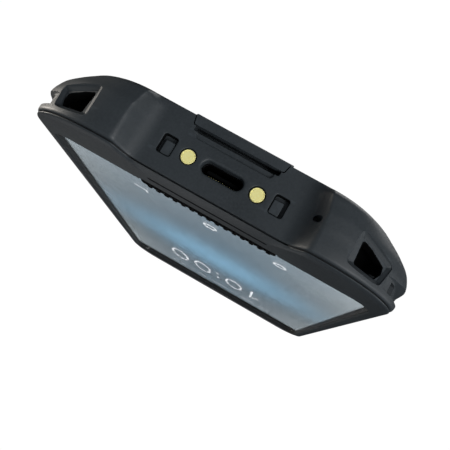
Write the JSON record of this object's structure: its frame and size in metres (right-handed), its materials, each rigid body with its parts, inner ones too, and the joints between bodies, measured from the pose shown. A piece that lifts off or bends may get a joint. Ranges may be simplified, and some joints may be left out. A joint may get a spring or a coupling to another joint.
{
  "type": "rugged handheld data collector",
  "caption": "Rugged phone-shaped field data collector with a raised screen frame, corner bumpers with lanyard windows, dock contacts, a charging port and a removable battery cover.",
  "frame": {"origin": "middle of the footprint, at the level of the back of the battery cover", "axes": "+X to the right of the screen, +Y from the charging end to the earpiece end, +Z out of the screen"},
  "size_m": [0.0864, 0.1708, 0.0155],
  "materials": {
    "shell": "fine grained moulded shell, dark slate grey",
    "bezel": "satin moulded frame, dark slate grey",
    "rubber": "matt black seal",
    "key_rubber": "soft matt key",
    "screen_glass": "polished cover glass with a black border",
    "display": "lit liquid crystal panel",
    "alloy": "cast light alloy frame",
    "steel": "plain stamped steel",
    "gold_contact": "gold-plated contact",
    "circuit_board": "green solder mask",
    "black_plastic": "matt black plastic",
    "battery_wrap": "dark printed wrap, no print modelled",
    "ceramic": "fired antenna ceramic",
    "lens_glass": "dark camera window",
    "lamp": "frosted lamp lens"
  },
  "bodies": {
    "device": {"rear_housing": "shell", "front_bezel": "bezel", "front_gasket": "rubber", "cover_glass": "screen_glass", "display_panel": "display", "display_bracket": "alloy", "front_camera": "black_plastic", "speaker_grille": "black_plastic", "speaker_driver": "black_plastic", "earpiece_mesh": "black_plastic", "earpiece_driver": "black_plastic", "usb_c_receptacle": "steel", "port_board": "circuit_board", "microphone": "steel", "contact_pad_left": "gold_contact", "contact_pad_right": "gold_contact", "contact_seal_left": "rubber", "contact_seal_right": "rubber", "side_flex_left": "circuit_board", "side_flex_right": "circuit_board", "battery_pack": "battery_wrap", "battery_connector": "black_plastic", "main_board": "circuit_board", "processor_shield": "steel", "card_holder": "steel", "vibration_motor": "steel", "gnss_antenna": "ceramic", "wireless_antenna": "circuit_board", "rear_camera": "black_plastic", "rear_camera_window": "lens_glass", "flash_lens": "lamp", "flash_led": "lamp", "power_button_switch": "black_plastic", "right_function_key_switch": "black_plastic", "volume_up_button_switch": "black_plastic", "volume_down_button_switch": "black_plastic", "left_function_key_switch": "black_plastic", "housing_screw_1": "steel", "housing_screw_2": "steel", "housing_screw_3": "steel", "housing_screw_4": "steel", "housing_screw_5": "steel", "housing_screw_6": "steel"},
    "battery_cover": {"battery_cover": "shell", "cover_seal": "rubber"},
    "power_button": {"power_button": "key_rubber"},
    "right_function_key": {"right_function_key": "key_rubber"},
    "volume_up_button": {"volume_up_button": "key_rubber"},
    "volume_down_button": {"volume_down_button": "key_rubber"},
    "left_function_key": {"left_function_key": "key_rubber"}
  },
  "joints": [
    {"name": "battery_cover_lift", "type": "slide", "parent": "device", "child": "battery_cover", "axis": [0, 0, -1], "range_m": [0, 0.012]},
    {"name": "power_button_press", "type": "slide", "parent": "device", "child": "power_button", "axis": [-1, 0, 0], "range_m": [0, 0.0006], "stiffness_N_per_m": 2500},
    {"name": "right_function_key_press", "type": "slide", "parent": "device", "child": "right_function_key", "axis": [-1, 0, 0], "range_m": [0, 0.0006], "stiffness_N_per_m": 2500},
    {"name": "volume_up_button_press", "type": "slide", "parent": "device", "child": "volume_up_button", "axis": [1, 0, 0], "range_m": [0, 0.0006], "stiffness_N_per_m": 2500},
    {"name": "volume_down_button_press", "type": "slide", "parent": "device", "child": "volume_down_button", "axis": [1, 0, 0], "range_m": [0, 0.0006], "stiffness_N_per_m": 2500},
    {"name": "left_function_key_press", "type": "slide", "parent": "device", "child": "left_function_key", "axis": [1, 0, 0], "range_m": [0, 0.0006], "stiffness_N_per_m": 2500}
  ]
}
